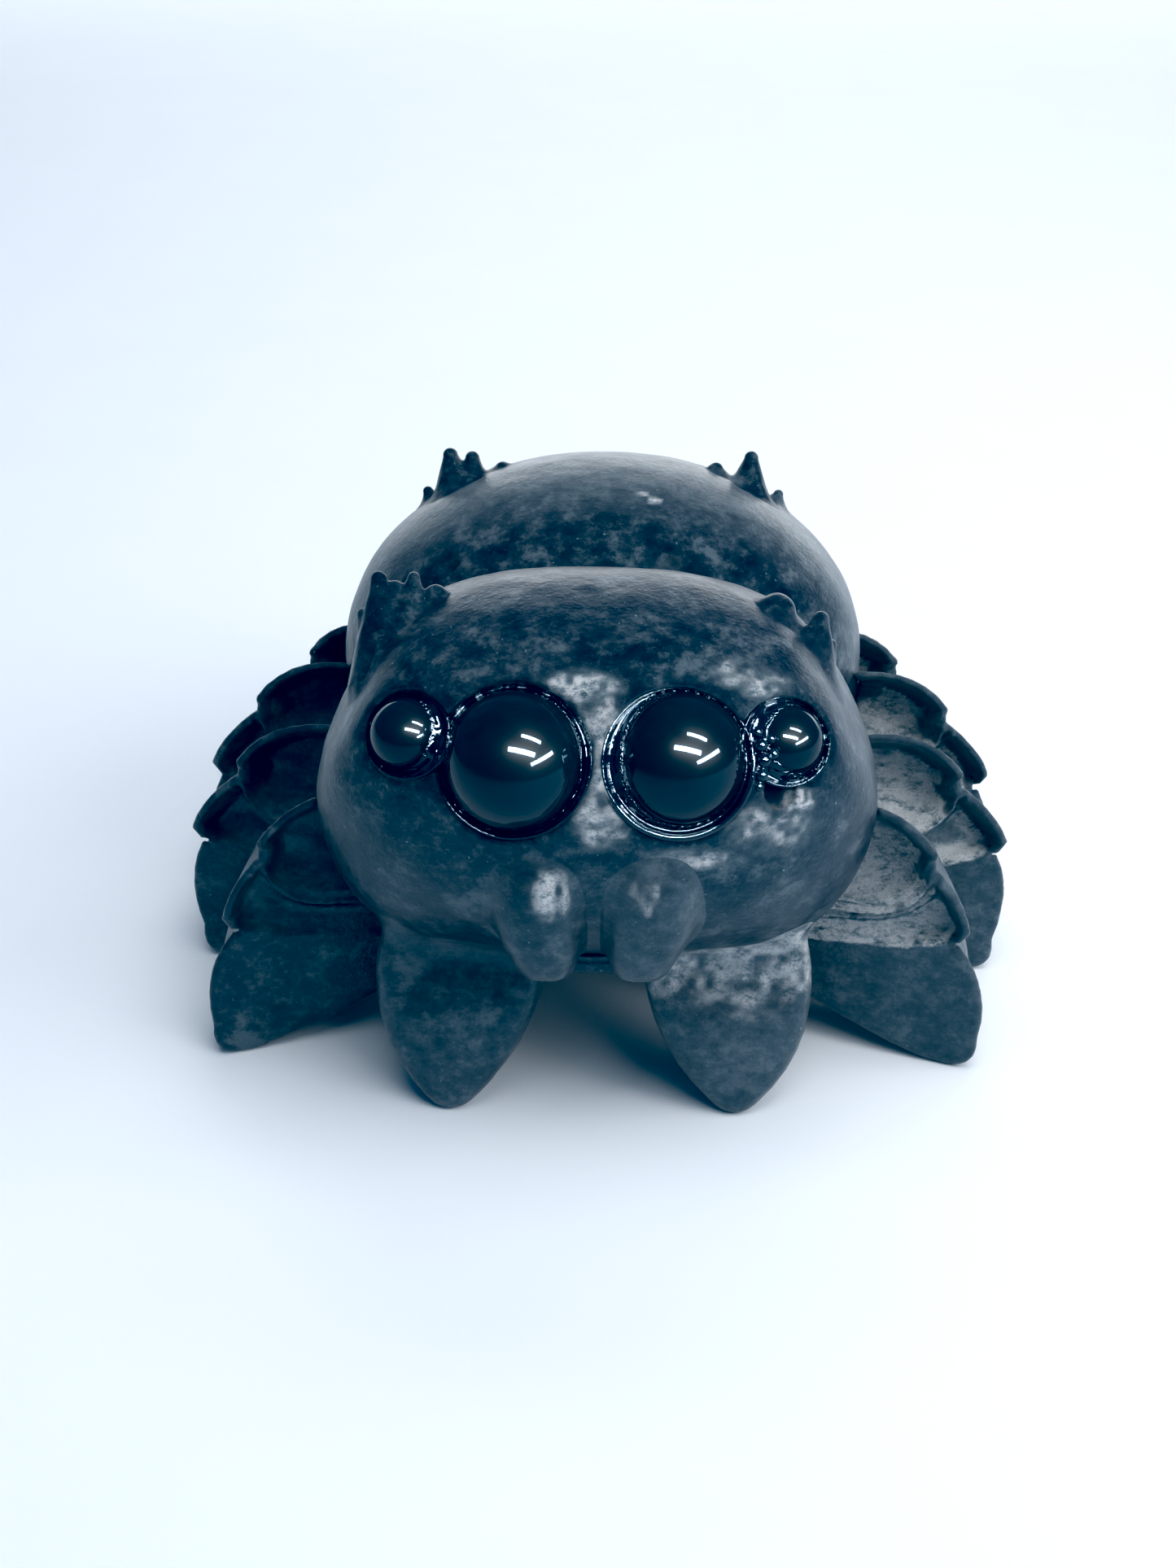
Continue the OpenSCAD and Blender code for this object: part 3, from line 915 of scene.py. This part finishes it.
def abdomen_raw_and_back_light(p, slope):
    """The slip and the fleck, and the top of the back painted lighter as light from behind."""
    cut = smooth_step(1.0 - np.abs(slip(p)) / 0.15)
    patch = smooth_step((1.6 - ball(p, FLECK, 0.0)) / 1.2) * smooth_step((noise(p, 0.8, 2.4) + 0.2) / 0.5)
    # Painted light: the back and top of the abdomen made paler, as if lit from behind.
    painted_back_light = 0.18 * smooth_step((p[:, 1] - 3.5) / 6.0) * smooth_step((p[:, 2] - 16.0) / 8.0)
    return np.maximum(np.maximum(0.08 * cut, 0.45 * patch), painted_back_light)


def jaw_raw_and_glints(side):
    """A streaky raw patch high on each jaw, painted pale with glints, on a paler floor on the right jaw as
    light painted from the right.
    """
    middle = np.array([side * (3.3 if side > 0 else 2.6), -24.4, 19.3])

    def raw_and_lit_share(p, slope):
        far = np.linalg.norm((p - middle) / (1.3, 3.0, 1.7), axis=-1)
        bright = (0.26 if side > 0 else 0.42) * smooth_step((1.5 - far) / 1.1)
        return np.maximum(bright * (0.8 + 0.8 * noise(p * (1, 1, 0.4), 0.5, 4.3)), 0.11 if side > 0 else 0.06)

    return raw_and_lit_share


def add(node_name, field, pitch, material, raw_and_lit_share=None, room=None):
    """Carves a piece inside its room, a box of two corners, in place of its CAD node."""
    low, high = room or grow(node_name, 2.5)
    piece = carve(f"{node_name}_carved", field, low, high, pitch, material, raw_and_lit_share)
    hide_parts(node_name)


def add_wood(node_name, field, pitch, raw_and_lit_share=None, room=None):
    add(node_name, field, pitch, WOOD, raw_and_lit_share, room)


def build_body():
    add_wood("head", head_field, PITCH["head"], face_raw_and_glints, grow("head", 0.8))
    add_wood("abdomen", abdomen_field, PITCH["abdomen"], abdomen_raw_and_back_light, grow("abdomen", 0.8))
    add_wood("mouth_plate", mouth_field, PITCH["mouth"], None, grow("mouth_plate", 0.4))
    frame["nodes"]["waist_dowel"].data.materials.clear()
    frame["nodes"]["waist_dowel"].data.materials.append(DOWEL)


def build_limbs(name, side):
    add_wood(f"chelicera_{name}", jaw_field(side), PITCH["jaw"], jaw_raw_and_glints(side))
    field, raw_and_lit_share = palp_field(side)
    add_wood(f"palp_{name}", field, PITCH["limb"], raw_and_lit_share)
    for pair, pair_name in enumerate(PAIRS):
        field, raw_and_lit_share = leg_field(pair, side)
        add_wood(f"leg_{pair_name}_{name}", field, PITCH["limb"], raw_and_lit_share)


def build_tufts(name):
    for kind in ("head_tuft", "abdomen_tuft"):
        tuft = f"{kind}_{name}"
        add_wood(tuft, tuft_field(tuft), PITCH["tuft"], None, spikes_box(tuft))


def build_eyes(name):
    for kind in ("large", "small"):
        eye = f"eye_{kind}_{name}"
        middle, r = BEADS[eye]
        add(eye, bead_field(eye), r / BEAD_STEPS, BEAD, None, around(middle, r + 0.2))
        middle, r = SOCKETS[eye]
        room = around(middle, r + 1.6)
        add(f"glue_{kind}_{name}", glue_field(eye), PITCH["glue"], GLUE, None, room)


build_body()
for side_name, sign in SIDES.items():
    build_limbs(side_name, sign)
    build_tufts(side_name)
    build_eyes(side_name)


# ---------------------------------------------------------------- light, floor and camera
SHINY = bpy.data.collections.new("shiny_pieces")
for thing in bpy.data.objects:
    if thing.type == "MESH" and thing.name.startswith(("eye_", "glue_")) and thing.name.endswith("_carved"):
        SHINY.objects.link(thing)


def soft_light(name, place, aim, size, power):
    """A rectangular light that no camera sees, and that shows in no reflection as it is made.
    Its place, aim and size are in metres, and its power in watts."""
    light = bpy.data.lights.new(name, "AREA")
    light.shape = "RECTANGLE"
    light.size, light.size_y = size
    light.energy = power
    holder = bpy.data.objects.new(name, light)
    bpy.context.scene.collection.objects.link(holder)
    holder.visible_camera = False
    holder.visible_glossy = False
    place = Vector(place)
    turn = (Vector(aim) - place).to_track_quat("-Z", "Y").to_matrix().to_4x4()
    holder.matrix_world = Matrix.Translation(place) @ turn
    return holder


CAMERA_TARGET = Vector((-0.8, -1.7, 13.6)) * MM
CAMERA_AWAY = 0.156
CAMERA_RISE, CAMERA_TURN, CAMERA_ROLL = math.radians(30), math.radians(0.96), math.radians(0.54)
CAMERA_BACK = Vector(
    (
        math.sin(CAMERA_TURN) * math.cos(CAMERA_RISE),
        -math.cos(CAMERA_TURN) * math.cos(CAMERA_RISE),
        math.sin(CAMERA_RISE),
    )
)
CAMERA_PLACE = CAMERA_TARGET + CAMERA_BACK * CAMERA_AWAY
# Lamps that only glint on beads and glue, by the streak that each leaves on a bead: its two ends
# and its thickness, across and above the bead's middle as shares of the radius
LAMPS = [
    ((-0.07, 0.165), (0.30, 0.085), 0.062),
    ((0.11, 0.355), (0.38, 0.26), 0.045),
    ((0.25, -0.05), (0.55, 0.13), 0.045),
]
LAMP_AWAY = 0.30
LAMP_BRIGHT = (260.0, 190.0, 150.0)


def lamps():
    eyes = Vector((BEADS["eye_large_left"][0] + BEADS["eye_large_right"][0]) / 2) * MM
    view = (CAMERA_PLACE - eyes).normalized()
    across = Vector((0, 0, 1)).cross(view).normalized()
    above = view.cross(across)

    def mirrored(end):
        """Place of what a bead shows at a point of its face."""
        normal = across * end[0] + above * end[1] + view * math.sqrt(1 - end[0] ** 2 - end[1] ** 2)
        return eyes + (2 * normal.dot(view) * normal - view) * LAMP_AWAY

    for i, (start, end, thickness) in enumerate(LAMPS):
        start, end = mirrored(start), mirrored(end)
        size = ((end - start).length, 2 * thickness * LAMP_AWAY)
        power = LAMP_BRIGHT[i] * math.pi * size[0] * size[1]
        lamp = soft_light(f"lamp_{i + 1}", (start + end) / 2, eyes, size, power)
        z = ((start + end) / 2 - eyes).normalized()
        x = (end - start).normalized()
        x = (x - x.dot(z) * z).normalized()
        turn = Matrix((x, z.cross(x), z)).transposed().to_4x4()
        lamp.matrix_world = Matrix.Translation((start + end) / 2) @ turn
        lamp.visible_glossy = True
        lamp.visible_diffuse = False
        lamp.light_linking.receiver_collection = SHINY


def flat(name, corners, material):
    mesh = bpy.data.meshes.new(name)
    mesh.from_pydata([Vector(corner) * MM for corner in corners], [], [(0, 1, 2, 3)])
    mesh.materials.append(material)
    sheet = bpy.data.objects.new(name, mesh)
    bpy.context.scene.collection.objects.link(sheet)
    return sheet


def floor():
    material, tree, out = shader("floor")
    where = node(tree, "ShaderNodeTexCoord").outputs["Object"]
    grain = noise_node(tree, where, 17.0, 2.0)
    colour = ramp(tree, grain, [(0.3, (0.70, 0.74, 0.795)), (0.7, (0.71, 0.75, 0.805))])
    tree.links.new(colour, out.inputs["Base Color"])
    out.inputs["Roughness"].default_value = 0.9
    flat("floor", ((-1200, -900, 0), (1200, -900, 0), (1200, 1500, 0), (-1200, 1500, 0)), material)


# The dome's axis rises from the front, and it reaches this far round from it
DOME_RISE, DOME_SPREAD = math.radians(38), math.radians(118)
DOME_RADIUS = 0.46
DOME_RINGS, DOME_SPOKES = 14, 48
DOME_FOOT = 0.002  # it never reaches lower, and its faces that lie down there are left out


def dark_room():
    """A dark dome over the front and top, like the unlit room there, glowing faintly blue: a painted
    dark-blue reflection and blue fill in the shade. No camera sees it.
    """
    material, tree, out = shader("dark_room")
    where = node(tree, "ShaderNodeTexCoord").outputs["Object"]
    cloud = noise_node(tree, where, 160.0, 1.0)
    colour = ramp(tree, cloud, [(0.35, (0.006, 0.05, 0.12)), (0.65, (0.03, 0.13, 0.23))])
    out.inputs["Base Color"].default_value = (0.0, 0.0, 0.0, 1.0)
    tree.links.new(colour, out.inputs["Emission Color"])
    out.inputs["Emission Strength"].default_value = 1.0
    axis = Vector((0, -math.cos(DOME_RISE), math.sin(DOME_RISE)))
    up = Vector((0, math.sin(DOME_RISE), math.cos(DOME_RISE)))
    points = []
    for i in range(DOME_RINGS + 1):
        spread = DOME_SPREAD * i / DOME_RINGS
        for j in range(DOME_SPOKES):
            turn = 2 * math.pi * j / DOME_SPOKES
            sideways = Vector((1, 0, 0)) * math.cos(turn) + up * math.sin(turn)
            point = (axis * math.cos(spread) + sideways * math.sin(spread)) * DOME_RADIUS
            points.append((point.x, point.y, max(point.z, DOME_FOOT)))
    faces = []
    for i in range(DOME_RINGS):
        for j in range(DOME_SPOKES):
            a, b = i * DOME_SPOKES + j, i * DOME_SPOKES + (j + 1) % DOME_SPOKES
            face = (a, b, b + DOME_SPOKES, a + DOME_SPOKES)
            if max(points[k][2] for k in face) > 1.5 * DOME_FOOT:
                faces.append(face)
    mesh = bpy.data.meshes.new("dark_room")
    mesh.from_pydata(points, [], faces)
    mesh.materials.append(material)
    dome = bpy.data.objects.new("dark_room", mesh)
    bpy.context.scene.collection.objects.link(dome)
    dome.visible_camera = False


def sky():
    """Pale all round, and brightest behind and to the right."""
    world = bpy.data.worlds.new("studio")
    bpy.context.scene.world = world
    world.use_nodes = True
    tree = world.node_tree
    look = node(tree, "ShaderNodeTexCoord").outputs["Generated"]
    towards = node(tree, "ShaderNodeVectorMath", {0: look, 1: (0.45, 0.80, 0.35)}, operation="DOT_PRODUCT")
    level = node(tree, "ShaderNodeMapRange", {"Value": towards.outputs["Value"], "From Min": -1.0}).outputs[0]
    colour = ramp(tree, level, [(0.0, (0.70, 0.76, 0.85)), (0.6, (0.80, 0.87, 0.95)), (1.0, (1.0, 1.0, 1.0))])
    tree.links.new(colour, tree.nodes["Background"].inputs["Color"])
    tree.nodes["Background"].inputs["Strength"].default_value = 1.7


def studio():
    floor()
    dark_room()
    sky()
    lamps()
    soft_light("right_window", (0.26, -0.06, 0.18), (0, 0, 0.015), (0.22, 0.18), 0.55)
    soft_light("top", (0.03, -0.04, 0.36), (0, 0, 0.01), (0.30, 0.26), 1.05)
    soft_light("back_top", (0.03, 0.22, 0.30), (0.03, 0.32, 0), (0.26, 0.12), 0.50)
    soft_light("front_fill", (0.24, -0.20, 0.28), (0, 0, 0.015), (0.30, 0.20), 0.62)
    glow = soft_light("back_glow", (0.20, 0.70, 0.07), (0, 0, 0.02), (1.30, 0.14), 1.0)
    glow.visible_glossy = True
    glow.visible_diffuse = False


def photo_camera():
    """The camera of the picture: 30 degrees above the floor, just right of the middle."""
    data = bpy.data.cameras.new("camera")
    data.sensor_fit = "VERTICAL"
    data.sensor_height = 36.0
    data.lens = 50.0
    data.clip_start = 0.01
    camera = bpy.data.objects.new("camera", data)
    bpy.context.scene.collection.objects.link(camera)
    back = CAMERA_BACK
    right = (-back).cross(Vector((0, 0, 1))).normalized()
    up = right.cross(-back)
    rolled = right * math.cos(CAMERA_ROLL) + up * math.sin(CAMERA_ROLL)
    up = up * math.cos(CAMERA_ROLL) - right * math.sin(CAMERA_ROLL)
    turn = Matrix((rolled, up, back)).transposed().to_4x4()
    camera.matrix_world = Matrix.Translation(CAMERA_PLACE) @ turn
    bpy.context.scene.camera = camera


studio()
photo_camera()
view = bpy.context.scene.view_settings
view.view_transform = "Standard"
# The cool cast of the picture: its darks hold no red
view.use_curve_mapping = True
view.curve_mapping.black_level = (0.022, 0.003, -0.010)
view.curve_mapping.update()
